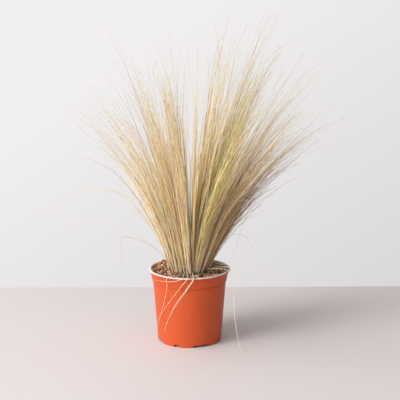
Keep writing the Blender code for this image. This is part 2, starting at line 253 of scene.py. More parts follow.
# Lamps: place, aim and size
LAMPS = {
    "key_light": ((-3.4, -2.15, 1.75), (0, 0, 0.2), 2.3),
    "top_light": ((-1.0, -0.5, 2.2), (0, 0, 0), 1.6),
    "fill_light": ((-1.3, -3.0, 0.9), (0, 0, 0.2), 1.6),
}

# Colour kinds that the leaves are sorted in, and locks of leaves in one tuft
KINDS = 32
LOCKS = 6

# Across the clump, as shares of its half width: tint, fresh locks, old locks, length, amount
TINT, FRESH, OLD, LENGTH, AMOUNT = range(1, 6)
TRESSES = (
    (-1.00, 0.10, 0.00, 0.05, 0.97, 0.44),
    (-0.72, 0.09, 0.02, 0.07, 0.93, 0.42),
    (-0.36, 0.20, 0.14, 0.07, 1.00, 0.62),
    (-0.05, 0.16, 0.14, 0.05, 0.92, 0.58),
    (0.22, 0.27, 0.14, 0.06, 1.08, 0.74),
    (0.44, 0.24, 0.84, 0.05, 1.12, 0.88),
    (0.66, 0.20, 0.26, 0.20, 1.06, 0.84),
    (0.82, 0.36, 0.16, 0.50, 1.03, 1.00),
    (1.00, 0.46, 0.40, 0.56, 1.00, 1.10),
)

# Shares of the half width where the leaves gather, and how strongly
GATHERED = (-1.0, -0.72, -0.42, -0.14, 0.20, 0.44, 0.80, 1.02)
GATHER = 0.9

# Added to the distance of a tress beyond the gap, so that no leaf is drawn across it
FAR = 9.0

# The fine leaves stand a little steeper at the foot than their tuft, and arch more at the tip
FOOT_STEEPER = 0.72
TIP_ARCHED = 1.14

# Steps in a leaf's line, how far its foot lies from its lock's, and how deep it stands in the crown
LEAF_STEPS = 15
FOOT_SCATTER = 0.0019
LEAF_SEAT = 0.002

# Where on its way a leaf starts to curl, over what share, and its largest lean in degrees
CURL_START = 0.55
CURL_SPAN = 0.45
LARGEST_LEAN = 78

# Lengths of locks, how much shorter a leaf may be, how it waves in spreads, and its breadths
LOCK_LENGTHS = (0.84, 1.04)
SHORTER = 0.64
WAVE = 0.75
BREADTHS = (0.55, 1.15)
BROADER = 1.2

# How far locks stray, and leaves from their lock: the steady part and what a loose leaf adds, in spreads
LOCK_SCATTER = {"foot": 0.30, "tip": 0.55, "curl": 2.0}
LEAF_SCATTER = {"foot": (0.52, 1.2), "tip": (0.58, 2.6), "curl": (0.85, 4.2)}

# Share of the leaves that keep off the gap in the middle, and their least leans in degrees
PARTING_SHARE = 0.88
PARTING_FOOT = (0.6, 2.6)
PARTING_TIP = (-1.5, 3.5)

# How far tints stray from lock to lock, and from leaf to leaf
LOCK_TINTS = 0.09
LEAF_TINTS = 0.13

# Tints of fresh and old locks, and of the light and dark leaves that stand out in a lock
FRESH_TINTS = (0.80, 0.98)
OLD_TINTS = (0.56, 0.76)
LIGHT_TINTS = (0.0, 0.24)
DARK_TINTS = (0.60, 0.76)
LIGHT_SHARE = 0.24
DARK_SHARE = 0.12
DARK_BY_OLD = 0.25

# How far past the model's box a leaf may reach: a share of the box, and a length
BOX_SHARE = 0.022
BOX_MARGIN = 0.008

# Short sheaths at the foot of the clump, and fibres on the soil
SHEATHS = 620
SHEATH_LENGTHS = (0.008, 0.034)
SHEATH_WIDTH = 0.0008
FIBRES = 150
FIBRE_LENGTHS = (0.005, 0.016)
FIBRE_WIDTH = 0.0007


def length_prop(name, default, text):
    return bpy.props.FloatProperty(name=name, description=text, default=default, unit="LENGTH", precision=5)


def colour_prop(name, default, text):
    return bpy.props.FloatVectorProperty(
        name=name, description=text, default=default, size=3, min=0, max=1, subtype="COLOR"
    )


def power_prop(name, default, text):
    return bpy.props.FloatProperty(name=name, description=text, default=default, unit="POWER")


class GrassLeafSettings(bpy.types.PropertyGroup):
    """Sizes and colours of the leaves."""

    blades: bpy.props.IntProperty(name="Leaves a Tuft", description="Leaves in one tuft", default=64, min=1)
    width: length_prop("Leaf Width", 0.00118, "Width of a leaf at its middle")
    spread: bpy.props.FloatProperty(
        name="Spread", description="How far a leaf strays from its tuft",
        default=math.radians(3.0), unit="ROTATION",
    )
    cream: colour_prop("Cream", (1.0, 0.83, 0.56), "Palest dry leaf")
    blond: colour_prop("Blond", (1.0, 0.69, 0.35), "Dry straw leaf")
    golden: colour_prop("Golden", (0.96, 0.53, 0.18), "Warm dry leaf")
    tan: colour_prop("Tan", (0.80, 0.39, 0.21), "Pinkish brown leaf")
    umber: colour_prop("Umber", (0.20, 0.095, 0.042), "Old brown leaf")
    olive: colour_prop("Olive", (0.42, 0.38, 0.07), "Leaf that is turning")
    green: colour_prop("Green", (0.31, 0.43, 0.05), "Fresh leaf")
    tip: colour_prop("Tip", (0.35, 0.31, 0.24), "Bleached leaf tip")
    # The foot colour is partly the leaves' pale base, partly painted light against the shade among their
    # feet
    foot: colour_prop("Foot", (1.0, 0.74, 0.48), "Pale foot of a leaf")


class GrassPotSettings(bpy.types.PropertyGroup):
    """Colours of the pot."""

    orange: colour_prop("Orange", (0.53, 0.064, 0.009), "Outer plastic")
    liner: colour_prop("Liner", (0.62, 0.595, 0.60), "White inner plastic that shows at the lip")


class GrassSoilSettings(bpy.types.PropertyGroup):
    """Colours and amounts of the soil."""

    dark: colour_prop("Dark", (0.045, 0.026, 0.020), "Wet peat")
    brown: colour_prop("Brown", (0.20, 0.095, 0.060), "Bark")
    red: colour_prop("Red Brown", (0.46, 0.21, 0.14), "Fresh bark")
    pale: colour_prop("Pale", (0.82, 0.57, 0.43), "Dry fibre and chips")
    chunks: bpy.props.FloatProperty(
        name="Chunks", description="Bark chunks for each square metre of soil", default=75000, min=0
    )


class GrassStageSettings(bpy.types.PropertyGroup):
    """Floor, backdrop and light."""

    floor: colour_prop("Floor", (0.615, 0.565, 0.560), "Floor")
    backdrop: colour_prop("Backdrop", (0.885, 0.865, 0.870), "Plain backdrop beyond the floor")
    key: power_prop("Key Light", 172, "Power of the light at the left")
    top: power_prop("Top Light", 22, "Power of the light overhead")
    fill: power_prop("Fill Light", 16, "Power of the light at the front left")
    ambient: bpy.props.FloatProperty(
        name="Ambient", description="Strength of the light from all around", default=0.88, min=0
    )


class Wire:
    """A node's output that can stand in an expression, where each operator adds a Math node."""

    def __init__(self, tree, node, socket):
        self.tree = tree
        self.node = node
        self.socket = socket

    def maths(self, operation, first, second):
        return self.tree.add("ShaderNodeMath", {"operation": operation}, {0: first, 1: second})

    def __add__(self, other):
        return self.maths("ADD", self, other)

    def __radd__(self, other):
        return self.maths("ADD", other, self)

    def __sub__(self, other):
        return self.maths("SUBTRACT", self, other)

    def __rsub__(self, other):
        return self.maths("SUBTRACT", other, self)

    def __mul__(self, other):
        return self.maths("MULTIPLY", self, other)

    def __rmul__(self, other):
        return self.maths("MULTIPLY", other, self)

    def __truediv__(self, other):
        return self.maths("DIVIDE", self, other)

    def __pow__(self, other):
        return self.maths("POWER", self, other)

    def out(self, name):
        return Wire(self.tree, self.node, self.node.outputs[name])


class Tree:
    """Adds nodes to a node tree, for a material or for Geometry Nodes."""

    def __init__(self, tree):
        self.tree = tree

    def add(self, kind, settings=None, sockets=None, out=0):
        node = self.tree.nodes.new(kind)
        for key, value in (settings or {}).items():
            if key == "stops":
                set_stops(node.color_ramp, value)
            else:
                setattr(node, key, value)
        for key, value in (sockets or {}).items():
            if isinstance(value, Wire):
                self.tree.links.new(value.socket, node.inputs[key])
            else:
                node.inputs[key].default_value = value
        return Wire(self, node, node.outputs[out] if len(node.outputs) else None)

    def mix(self, factor, first, second, blend="MIX"):
        """Mix of two colours."""
        sockets = {0: factor, 6: opaque(first), 7: opaque(second)}
        return self.add("ShaderNodeMix", {"data_type": "RGBA", "blend_type": blend}, sockets, out=2)

    def ramp(self, factor, stops):
        return self.add("ShaderNodeValToRGB", {"stops": stops}, {0: factor})

    def noise(self, vector, scale, detail=3, roughness=0.5):
        sockets = {"Vector": vector, "Scale": scale, "Detail": detail, "Roughness": roughness}
        return self.add("ShaderNodeTexNoise", {}, sockets)

    def attribute(self, name):
        return self.add("ShaderNodeAttribute", {"attribute_name": name}, out=2)

    def place(self):
        """Place in the object's own coordinates."""
        return self.add("ShaderNodeTexCoord", out=3)


def opaque(colour):
    return colour if isinstance(colour, Wire) else (*colour[:3], 1)


def set_stops(ramp, stops):
    while len(ramp.elements) < len(stops):
        ramp.elements.new(1)
    for element, (position, colour) in zip(ramp.elements, stops):
        element.position = position
        element.color = opaque(colour)


def new_material(name, **constants):
    """A material with a Principled shader, and the Tree that adds to it."""
    material = bpy.data.materials.new(name)
    material.use_nodes = True
    tree = Tree(material.node_tree)
    shader = material.node_tree.nodes["Principled BSDF"]
    for socket, value in constants.items():
        shader.inputs[socket.replace("_", " ")].default_value = value
    return material, tree, shader


def feed(tree, shader, socket, wire):
    tree.tree.links.new(wire.socket, shader.inputs[socket])


def bump(tree, shader, height, distance, strength=1.0):
    sockets = {"Height": height, "Distance": distance, "Strength": strength}
    feed(tree, shader, "Normal", tree.add("ShaderNodeBump", {}, sockets))


def leaf_material(settings):
    """Dry and fresh leaves: a tint for each leaf, pale at its foot, partly the leaf's own pale base and
    partly painted light against the shade among the crowded feet, and bleached towards its tip.
    """
    material, tree, shader = new_material(
        "dry_leaf", Roughness=0.5, Specular_IOR_Level=0.35, Subsurface_Weight=0.75,
        Subsurface_Radius=(1.0, 0.62, 0.32), Subsurface_Scale=0.0015,
    )
    tint = tree.attribute("tint")
    along = tree.attribute("along")
    stops = (
        (0.00, settings.cream), (0.22, settings.blond), (0.42, settings.golden), (0.58, settings.tan),
        (0.72, settings.umber), (0.86, settings.olive), (1.00, settings.green),
    )
    colour = tree.ramp(tint, stops)
    spot = tree.add("ShaderNodeCombineXYZ", {}, {0: tint * 90, 1: along * 7})
    mottle = tree.noise(spot, 1.0)
    shade = tree.ramp(mottle, ((0.3, (0.62, 0.54, 0.52)), (0.62, (1.0, 1.0, 1.0))))
    colour = tree.mix(0.35, colour, shade, "MULTIPLY")
    colour = tree.mix(along ** 3 * 0.7, colour, settings.tip)
    # Paler towards the foot: partly the leaves' own pale base, partly painted light that lifts the shade
    # among the crowded feet
    colour = tree.mix((1 - along) ** 7 * 0.8, colour, settings.foot)
    feed(tree, shader, "Base Color", colour)
    return material


def dry_leaf():
    """The leaves' material, made at its first use."""
    return bpy.data.materials.get("dry_leaf") or leaf_material(bpy.context.scene.grass_leaves)


def sheath_material(settings):
    """Dry sheaths at the foot of the clump."""
    material, tree, shader = new_material("dry_sheath", Roughness=0.8)
    tint = tree.attribute("tint")
    along = tree.attribute("along")
    stops = ((0.0, settings.blond), (0.4, settings.tan), (0.8, settings.umber), (1.0, settings.olive))
    foot = tree.mix(along, (0.36, 0.21, 0.13), tree.ramp(tint, stops))
    feed(tree, shader, "Base Color", foot)
    return material


def knot_material():
    """The knot of shoot bases, coloured near black as painted shade between the leaves."""
    material, tree, shader = new_material("crown_knot", Roughness=0.9)
    grain = tree.noise(tree.place(), 420, 4, 0.6)
    # Near-black grain: painted shade between the leaves' feet
    stops = ((0.35, (0.025, 0.015, 0.01)), (0.7, (0.17, 0.10, 0.055)))
    feed(tree, shader, "Base Color", tree.ramp(grain, stops))
    bump(tree, shader, grain, 0.001)
    return material


def orange_material(settings):
    """Moulded plastic with faint drawing lines, dusty scuffs and a little orange peel."""
    material, tree, shader = new_material("orange_plastic", Specular_IOR_Level=0.28)
    place = tree.place()
    cloud = tree.noise(place, 26, 4, 0.55)
    lines = tree.add("ShaderNodeMapping", {}, {"Vector": place, "Scale": (1, 1, 14)})
    streak = tree.noise(lines, 60, 2, 0.5)
    dust = tree.ramp(tree.noise(place, 170, 6, 0.75), ((0.56, (0, 0, 0)), (0.75, (1, 1, 1))))
    deep = tuple(0.86 * c for c in settings.orange)
    colour = tree.mix(cloud, deep, settings.orange)
    colour = tree.mix(streak * 0.10, colour, (0.92, 0.36, 0.18))
    colour = tree.mix(dust * 0.06, colour, (0.75, 0.55, 0.45))
    feed(tree, shader, "Base Color", colour)
    feed(tree, shader, "Roughness", 0.34 + 0.16 * cloud + 0.10 * dust)
    bump(tree, shader, streak + 0.5 * cloud, 0.00012, 0.5)
    return material


def liner_material(settings):
    """White inner sheet of the pot, which shows where the lip rolls outwards."""
    material, tree, shader = new_material("white_liner", Roughness=0.5)
    stain = tree.noise(tree.place(), 90, 5, 0.7)
    stops = ((0.40, (0.45, 0.40, 0.38)), (0.52, settings.liner))
    feed(tree, shader, "Base Color", tree.ramp(stain, stops))
    return material


def soil_material(settings):
    """Wet peat and bark crumbs."""
    material, tree, shader = new_material("potting_soil", Roughness=0.95, Specular_IOR_Level=0.2)
    place = tree.place()
    crumbs = tree.noise(place, 520, 5, 0.65)
    stops = ((0.35, settings.dark), (0.55, settings.brown), (0.70, settings.red), (0.80, settings.pale))
    feed(tree, shader, "Base Color", tree.ramp(crumbs, stops))
    bump(tree, shader, crumbs, 0.002)
    return material


def chunk_material(settings):
    """Bark chunks, each with its own tint, and flecks over it."""
    material, tree, shader = new_material("bark_chunk", Roughness=0.9, Specular_IOR_Level=0.2)
    tint = tree.attribute("tint")
    flecks = tree.noise(tree.place(), 900, 4, 0.6)
    stops = (
        (0.0, settings.dark), (0.35, settings.brown), (0.60, settings.red),
        (0.82, tuple(1.6 * c for c in settings.red)), (0.92, settings.pale),
    )
    shade = tree.ramp(flecks, ((0.3, (0.3, 0.3, 0.3)), (0.7, (1.3, 1.2, 1.1))))
    feed(tree, shader, "Base Color", tree.mix(0.7, tree.ramp(tint, stops), shade, "MULTIPLY"))
    bump(tree, shader, flecks, 0.0006)
    return material


def floor_material(colour):
    """Plain pale floor with a faint cloudiness."""
    material, tree, shader = new_material("stage_floor", Roughness=0.6, Specular_IOR_Level=0.25)
    cloud = tree.noise(tree.place(), 6, 3, 0.5)
    shade = tuple(0.965 * c for c in colour)
    feed(tree, shader, "Base Color", tree.mix(cloud, shade, colour))
    return material


def new_object(name, mesh, *materials):
    thing = bpy.data.objects.new(name, mesh)
    bpy.context.scene.collection.objects.link(thing)
    for material in materials:
        thing.data.materials.append(material)
    return thing


def finished(thing, slot, *nodes):
    """Attaches a finished piece to its body and hides the nodes that it stands for; its slot is not used.
    """
    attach(thing, BODY)
    if nodes:
        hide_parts(*nodes)
    return thing


def node_group(name, inputs):
    """A Geometry Nodes tree with named inputs: its Tree, and the wire of its input node."""
    group = bpy.data.node_groups.new(name, "GeometryNodeTree")
    group.interface.new_socket("Geometry", in_out="OUTPUT", socket_type="NodeSocketGeometry")
    group.interface.new_socket("Geometry", in_out="INPUT", socket_type="NodeSocketGeometry")
    for title, kind in inputs:
        group.interface.new_socket(title, in_out="INPUT", socket_type="NodeSocket" + kind)
    tree = Tree(group)
    return tree, tree.add("NodeGroupInput")


def end_group(tree, geometry, material):
    """Every tree ends in real geometry with its material."""
    real = tree.add("GeometryNodeRealizeInstances", {}, {"Geometry": geometry})
    smooth = tree.add("GeometryNodeSetShadeSmooth", {}, {"Geometry": real})
    dressed = tree.add("GeometryNodeSetMaterial", {}, {"Geometry": smooth, "Material": material})
    tree.add("NodeGroupOutput", {}, {0: dressed})


def run_group(thing, tree, values):
    """Puts the tree on an object, sets its inputs by identifier, and keeps the result as a plain mesh."""
    modifier = thing.modifiers.new("Build", "NODES")
    modifier.node_group = tree.tree
    for item in tree.tree.interface.items_tree:
        if item.in_out == "INPUT" and item.name in values:
            modifier[item.identifier] = values[item.name]
    graph = bpy.context.evaluated_depsgraph_get()
    graph.update()
    built = bpy.data.meshes.new_from_object(
        thing.evaluated_get(graph), preserve_all_data_layers=True, depsgraph=graph
    )
    thing.modifiers.remove(modifier)
    old = thing.data
    thing.data = built
    bpy.data.meshes.remove(old)
    return thing


def sweep_group():
    """Turns leaf lines into closed tapered blades, with the map that their colours are baked through."""
    inputs = (
        ("Leaf Width", "Float"), ("Flatness", "Float"), ("Sides", "Int"), ("Material", "Material"),
    )
    tree, start = node_group("Leaf Sweep", inputs)
    line = tree.add("GeometryNodeMeshToCurve", {}, {"Mesh": start.out("Geometry")})
    sockets = {"Resolution": start.out("Sides"), "Radius": 0.5}
    ring = tree.add("GeometryNodeCurvePrimitiveCircle", {}, sockets)
    share = tree.add("GeometryNodeSplineParameter")
    ring = store(tree, ring, "across", share, "POINT")
    squeeze = tree.add("ShaderNodeCombineXYZ", {}, {0: 1.0, 1: start.out("Flatness"), 2: 1.0})
    ring = tree.add("GeometryNodeTransform", {}, {"Geometry": ring, "Scale": squeeze})
    scale = named(tree, "girth") * start.out("Leaf Width")
    sockets = {"Curve": line, "Profile Curve": ring, "Scale": scale, "Fill Caps": True}
    swept = tree.add("GeometryNodeCurveToMesh", {}, sockets)
    column = (named(tree, "kind") + 0.1 + 0.8 * named(tree, "across")) / KINDS
    spot = tree.add("ShaderNodeCombineXYZ", {}, {0: column, 1: 0.02 + 0.96 * named(tree, "along")})
    swept = store(tree, swept, "OFBake", spot, "CORNER", "FLOAT2")
    end_group(tree, swept, start.out("Material"))
    return tree


def named(tree, name):
    return tree.add("GeometryNodeInputNamedAttribute", {"data_type": "FLOAT"}, {"Name": name})


def store(tree, geometry, name, value, domain, kind="FLOAT"):
    settings = {"data_type": kind, "domain": domain}
    sockets = {"Geometry": geometry, "Name": name, "Value": value}
    return tree.add("GeometryNodeStoreNamedAttribute", settings, sockets)


def line_mesh(name, lines, girth, kinds, along):
    """A mesh of open lines, all with the same number of points, and what each point carries."""
    count, points = lines.shape[:2]
    mesh = bpy.data.meshes.new(name)
    mesh.vertices.add(count * points)
    mesh.vertices.foreach_set("co", lines.reshape(-1).astype(np.float32))
    first = (np.arange(count)[:, None] * points + np.arange(points - 1)[None, :]).reshape(-1)
    mesh.edges.add(len(first))
    mesh.edges.foreach_set("vertices", np.stack([first, first + 1], 1).reshape(-1).astype(np.int32))
    carried = {
        "girth": girth,
        "along": along,
        "kind": np.repeat(kinds[:, None], points, 1),
        "tint": np.repeat((kinds[:, None] + 0.5) / KINDS, points, 1),
    }
    for key, values in carried.items():
        layer = mesh.attributes.new(key, "FLOAT", "POINT")
        layer.data.foreach_set("value", values.reshape(-1).astype(np.float32))
    mesh.update()
    return mesh


def leaf_blades(name, carried, material, width, flatness=0.6, sides=4):
    """Closed tapered blades along lines, from the lines and their girth, kinds and shares of the way."""
    sweep = bpy.data.node_groups.get("Leaf Sweep")
    values = {"Leaf Width": width, "Flatness": flatness, "Sides": sides, "Material": material}
    thing = new_object(name, line_mesh(name, *carried))
    return run_group(thing, Tree(sweep) if sweep else sweep_group(), values)


def shares(count, points, start=0.0, end=1.0):
    """The share of the way at every point, alike for each of many lines."""
    return np.repeat(np.linspace(start, end, points)[None, :], count, 0)


def leans(x, y):
    """Lean at the foot and at the tip, sideways and in depth, in degrees, for leaves rooted at x, y."""
    reach = TUFT_PITCH * 3
    parting = PARTING_LEAN * np.tanh((x - PARTING_X) / PARTING_WIDTH)
    foot_x = np.where(x > 0, RIGHT_FOOT_LEAN, LEFT_FOOT_LEAN)
    tip_x = np.where(x > 0, RIGHT_TIP_LEAN, LEFT_TIP_LEAN)
    foot = np.stack([foot_x * x / reach + parting, DEPTH_FOOT_LEAN * y / reach], -1)
    tip = np.stack([tip_x * x / reach + parting, DEPTH_TIP_LEAN * y / reach], -1)
    return foot, tip


def grow(feet, foot_lean, tip_lean, curl, lengths, steps, wave=None):
    """Lines that rise from their feet and lean as they go. Leans, curls and waves are pairs in degrees."""
    share = (np.arange(steps) + 0.5) / steps
    bend = share[None, :, None] ** LEAN_POWER
    late = np.clip((share - CURL_START) / CURL_SPAN, 0, 1)[None, :, None] ** 2
    lean = foot_lean[:, None, :] + (tip_lean - foot_lean)[:, None, :] * bend + curl[:, None, :] * late
    if wave is not None:
        lean = lean + wave[:, None, :] * np.sin(7.5 * share[None, :, None] + 40 * wave[:, None, ::-1])
    slope = np.tan(np.radians(np.clip(lean, -LARGEST_LEAN, LARGEST_LEAN)))
    way = np.concatenate([slope, np.ones_like(slope[..., :1])], -1)
    way /= np.linalg.norm(way, axis=-1, keepdims=True)
    moved = np.cumsum(way * (lengths / steps)[:, None, None], axis=1)
    return np.concatenate([feet[:, None, :], feet[:, None, :] + moved], 1)


def tuft_places():
    """Name, foot and length of every tuft, ring by ring, as in the construction."""
    random = np.random.default_rng(7)
    for ring, (title, count) in enumerate(TUFT_RINGS):
        for k in range(count):
            angle = math.radians(360 * k / count + RING_TURN[ring])
            name = f"{title}_tuft" if count == 1 else f"{title}_tuft_{k + 1}"
            radius = ring * TUFT_PITCH
            length = HEART_LENGTH + (OUTER_LENGTH - HEART_LENGTH) * (ring / 3) ** 2
            length += LENGTH_SPREAD * float(random.uniform(-1, 1))
            yield name, radius * math.cos(angle), radius * math.sin(angle), length


def across(x, column):
    """A column of the tress table at places across the clump."""
    table = np.array(TRESSES)
    return np.interp(np.asarray(x) / (3 * TUFT_PITCH), table[:, 0], table[:, column])


def gathered(x):
    """Places drawn towards the nearest tress on their own side of the gap."""
    share = x / (3 * TUFT_PITCH)
    tresses = np.array(GATHERED)
    parting = PARTING_X / (3 * TUFT_PITCH)
    away = np.abs(share[:, None] - tresses[None, :])
    beyond = (share[:, None] > parting) != (tresses[None, :] > parting)
    away += FAR * beyond
    nearest = tresses[np.argmin(away, axis=1)]
    return (share + GATHER * (nearest - share)) * 3 * TUFT_PITCH


def pick_kinds(random, places, locks):
    """Tint of each leaf of a tuft: one tint for each lock, a little apart for each leaf."""
    count = len(locks)
    middle = across(places, TINT) + random.normal(0, LOCK_TINTS, LOCKS)
    draw = random.random(LOCKS)
    fresh, old = across(places, FRESH), across(places, OLD)
    middle = np.where(draw < fresh + old, random.uniform(*OLD_TINTS, LOCKS), middle)
    middle = np.where(draw < fresh, random.uniform(*FRESH_TINTS, LOCKS), middle)
    tint = middle[locks] + random.normal(0, LEAF_TINTS, count)
    odd = random.random(count)
    tint = np.where(odd < LIGHT_SHARE, random.uniform(*LIGHT_TINTS, count), tint)
    dark = DARK_SHARE + DARK_BY_OLD * old[locks]
    tint = np.where(odd > 1 - dark, random.uniform(*DARK_TINTS, count), tint)
    return np.clip((tint * KINDS).astype(int), 0, KINDS - 1)


def taper(points, foot=1.0, tip=0.34):
    """Width along a leaf: narrow at its foot, full before its middle, then thinning to a hair."""
    share = np.linspace(0, 1, points)
    body = foot + (tip - foot) * np.clip((share - 0.3) / 0.7, 0, 1) ** 1.2
    return body * (0.72 + 0.28 * np.clip(share / 0.3, 0, 1))


def within_box(lines):
    """How much to shorten each line so that it ends in the model's box, or a little outside it."""
    low, high = (np.array(corner) for corner in CAD_BOX)
    margin = BOX_SHARE * (high - low) + BOX_MARGIN
    low = np.minimum(low - margin, -1e-6)
    over = np.where(lines > 0, lines / (high + margin), lines / low).max(axis=(1, 2))
    return 1 / np.maximum(over, 1) ** 1.15


def keep_parting(lean, side, least):
    """Keeps leaves on their own side of the gap in the middle of the clump."""
    return np.where(side > 0, np.maximum(lean, least), np.minimum(lean, -least))


def scatter(random, part, loose, degrees):
    """How far each leaf strays from its lock, sideways and in depth."""
    steady, added = LEAF_SCATTER[part]
    return (steady + added * loose) * random.normal(0, degrees, (len(loose), 2))


def tuft_lines(random, x, y, length, blades, spread):
    """Lines of one tuft's leaves in a few locks, with their girth, kinds and shares of the way."""
    degrees = math.degrees(spread)
    locks = random.integers(0, LOCKS, blades)
    turn = random.uniform(0, 2 * math.pi, LOCKS)
    out = 0.5 * TUFT_PITCH * np.sqrt(random.random(LOCKS))
    middle = np.stack([x + out * np.cos(turn), y + out * np.sin(turn)], -1)
    lock_foot, lock_tip = leans(gathered(middle[:, 0]), middle[:, 1])
    lock_foot, lock_tip = FOOT_STEEPER * lock_foot, TIP_ARCHED * lock_tip
    lock_foot = lock_foot + random.normal(0, LOCK_SCATTER["foot"] * degrees, (LOCKS, 2))
    lock_tip = lock_tip + random.normal(0, LOCK_SCATTER["tip"] * degrees, (LOCKS, 2))
    lock_curl = random.normal(0, LOCK_SCATTER["curl"] * degrees, (LOCKS, 2))
    lock_length = random.uniform(*LOCK_LENGTHS, LOCKS) * across(middle[:, 0], LENGTH)
    feet = middle[locks] + random.normal(0, FOOT_SCATTER, (blades, 2))
    feet = np.concatenate([feet, np.full((blades, 1), CROWN_TOP - LEAF_SEAT)], -1)
    loose = random.random((blades, 1)) ** 3
    foot = lock_foot[locks] + scatter(random, "foot", loose, degrees)
    tip = lock_tip[locks] + scatter(random, "tip", loose, degrees)
    curl = lock_curl[locks] + scatter(random, "curl", loose, degrees)
    side = feet[:, 0] - PARTING_X
    obeys = random.random(blades) < PARTING_SHARE
    for lean, least in ((foot, PARTING_FOOT), (tip, PARTING_TIP)):
        kept = keep_parting(lean[:, 0], side, random.uniform(*least, blades))
        lean[:, 0] = np.where(obeys, kept, lean[:, 0])
    wave = random.normal(0, WAVE * degrees, (blades, 2))
    share = lock_length[locks] * (1.0 - SHORTER * random.random(blades) ** 1.5)
    lines = grow(feet, foot, tip, curl, length * share, LEAF_STEPS, wave)
    share = share * within_box(lines)
    lines = grow(feet, foot, tip, curl, length * share, LEAF_STEPS, wave)
    broad = random.uniform(*BREADTHS, blades) + BROADER * random.random(blades) ** 7
    girth = taper(LEAF_STEPS + 1)[None, :] * broad[:, None] * (1 - 0.4 * loose)
    kinds = pick_kinds(random, middle[:, 0], locks)
    return lines, girth, kinds, shares(blades, LEAF_STEPS + 1)


class GRASS_OT_tufts(bpy.types.Operator):
    """Grow every leaf tuft in place of its plain solid"""

    bl_idname = "grass.tufts"
    bl_label = "Leaf Tufts"

    def execute(self, context):
        settings = context.scene.grass_leaves
        material = dry_leaf()
        for index, (name, x, y, length) in enumerate(tuft_places()):
            random = np.random.default_rng(100 + index)
            blades = round(settings.blades * float(across(x, AMOUNT)))
            carried = tuft_lines(random, x, y, length, blades, settings.spread)
            leaves = leaf_blades(f"{name}_leaves", carried, material, settings.width, sides=3)
            finished(leaves, "straw_leaf", name)
        return {"FINISHED"}


def smooth_route(points, count):
    """Points of a Catmull-Rom curve through a leaf's own points."""
    knots = [Vector(p) for p in points]
    knots = [2 * knots[0] - knots[1]] + knots + [2 * knots[-1] - knots[-2]]
    spans = len(knots) - 3
    route = []
    for i in range(count):
        place = spans * i / (count - 1)
        span = min(int(place), spans - 1)
        t = place - span
        a, b, c, d = knots[span:span + 4]
        squared = 2 * a - 5 * b + 4 * c - d
        cubed = 3 * b - a - 3 * c + d
        route.append(0.5 * (2 * b + (c - a) * t + squared * t * t + cubed * t ** 3))
    return route


def outer_radius(height):
    """Outer radius of the pot at a height, from its foot to under its lip."""
    if height < BAND_BOTTOM:
        return BASE_RADIUS + (BODY_TOP_RADIUS - BASE_RADIUS) * height / BAND_BOTTOM
    rise = (height - BAND_BOTTOM) / (POT_HEIGHT - LIP_DEPTH - BAND_BOTTOM)
    return BAND_BOTTOM_RADIUS + (BAND_TOP_RADIUS - BAND_BOTTOM_RADIUS) * min(rise, 1)


def hugging_points(lift, places):
    """Route of a leaf that leaves the crown, crosses the rim and follows the outside of the pot."""
    start = math.radians(places[0][0])
    over_rim = (
        (FOOT_ON_CROWN, CROWN_TOP + 0.0009),
        (0.045, POT_HEIGHT + 0.0045),
        (0.056, POT_HEIGHT + 0.0042),
        (0.0625, POT_HEIGHT + 0.0022),
    )
    points = [(r * math.sin(start), -r * math.cos(start), z) for r, z in over_rim]
    flat = [(bearing, height, 0) for bearing, height in places]
    for bearing, height, _ in smooth_route(flat, 14):
        angle = math.radians(bearing)
        if height > POT_HEIGHT - 2 * LIP_DEPTH:
            radius = LIP_RADIUS + RIM_CLEARANCE + lift
        else:
            radius = outer_radius(height) + HUG_CLEARANCE + lift
        points.append((radius * math.sin(angle), -radius * math.cos(angle), height))
    return points


def route_leaf(name, points, tint, width, strands, material, count=56):
    """A few strands along a route, as closed tapered blades."""
    random = np.random.default_rng(len(name))
    route = np.array([tuple(p) for p in smooth_route(points, count)])
    share = np.linspace(0, 1, count)
    lines, girth = [], []
    for k in range(strands):
        aside = random.uniform(-1, 1, 3) * (0.0030, 0.0006, 0.0030) if k else np.zeros(3)
        reach = count - 1 if k == 0 else random.integers(count // 2, count - 4)
        picked = share * reach
        line = np.stack([np.interp(picked, np.arange(count), route[:, axis]) for axis in range(3)], -1)
        lines.append(line + aside * share[:, None] ** 0.7)
        girth.append(taper(count, 1.0, 0.4) * (1 if k == 0 else 0.8))
    kinds = np.clip(((tint + 0.05 * np.arange(strands)) * KINDS).astype(int), 0, KINDS - 1)
    carried = (np.array(lines), np.array(girth), kinds, 0.8 * shares(strands, count))
    return leaf_blades(name, carried, material, width, flatness=0.7, sides=5)


class GRASS_OT_bent_leaves(bpy.types.Operator):
    """Lay the single bent leaves along their routes"""

    bl_idname = "grass.bent_leaves"
    bl_label = "Bent Leaves"

    def execute(self, context):
        material = dry_leaf()
        routes = dict(STRAY_LEAVES)
        for name, (lift, places) in HUGGING_LEAVES.items():
            routes[name] = hugging_points(lift, places)
        for name, points in routes.items():
            tint, width, strands = STRAND_LOOKS.get(name, PLAIN_STRAND)
            leaf = route_leaf(f"{name}_blade", points, tint, width, strands, material)
            finished(leaf, "pale_leaf", name)
        for name, (tint, width, points) in WISPS.items():
            finished(route_leaf(name, points, tint, width, 1, material), "pale_leaf")
        return {"FINISHED"}


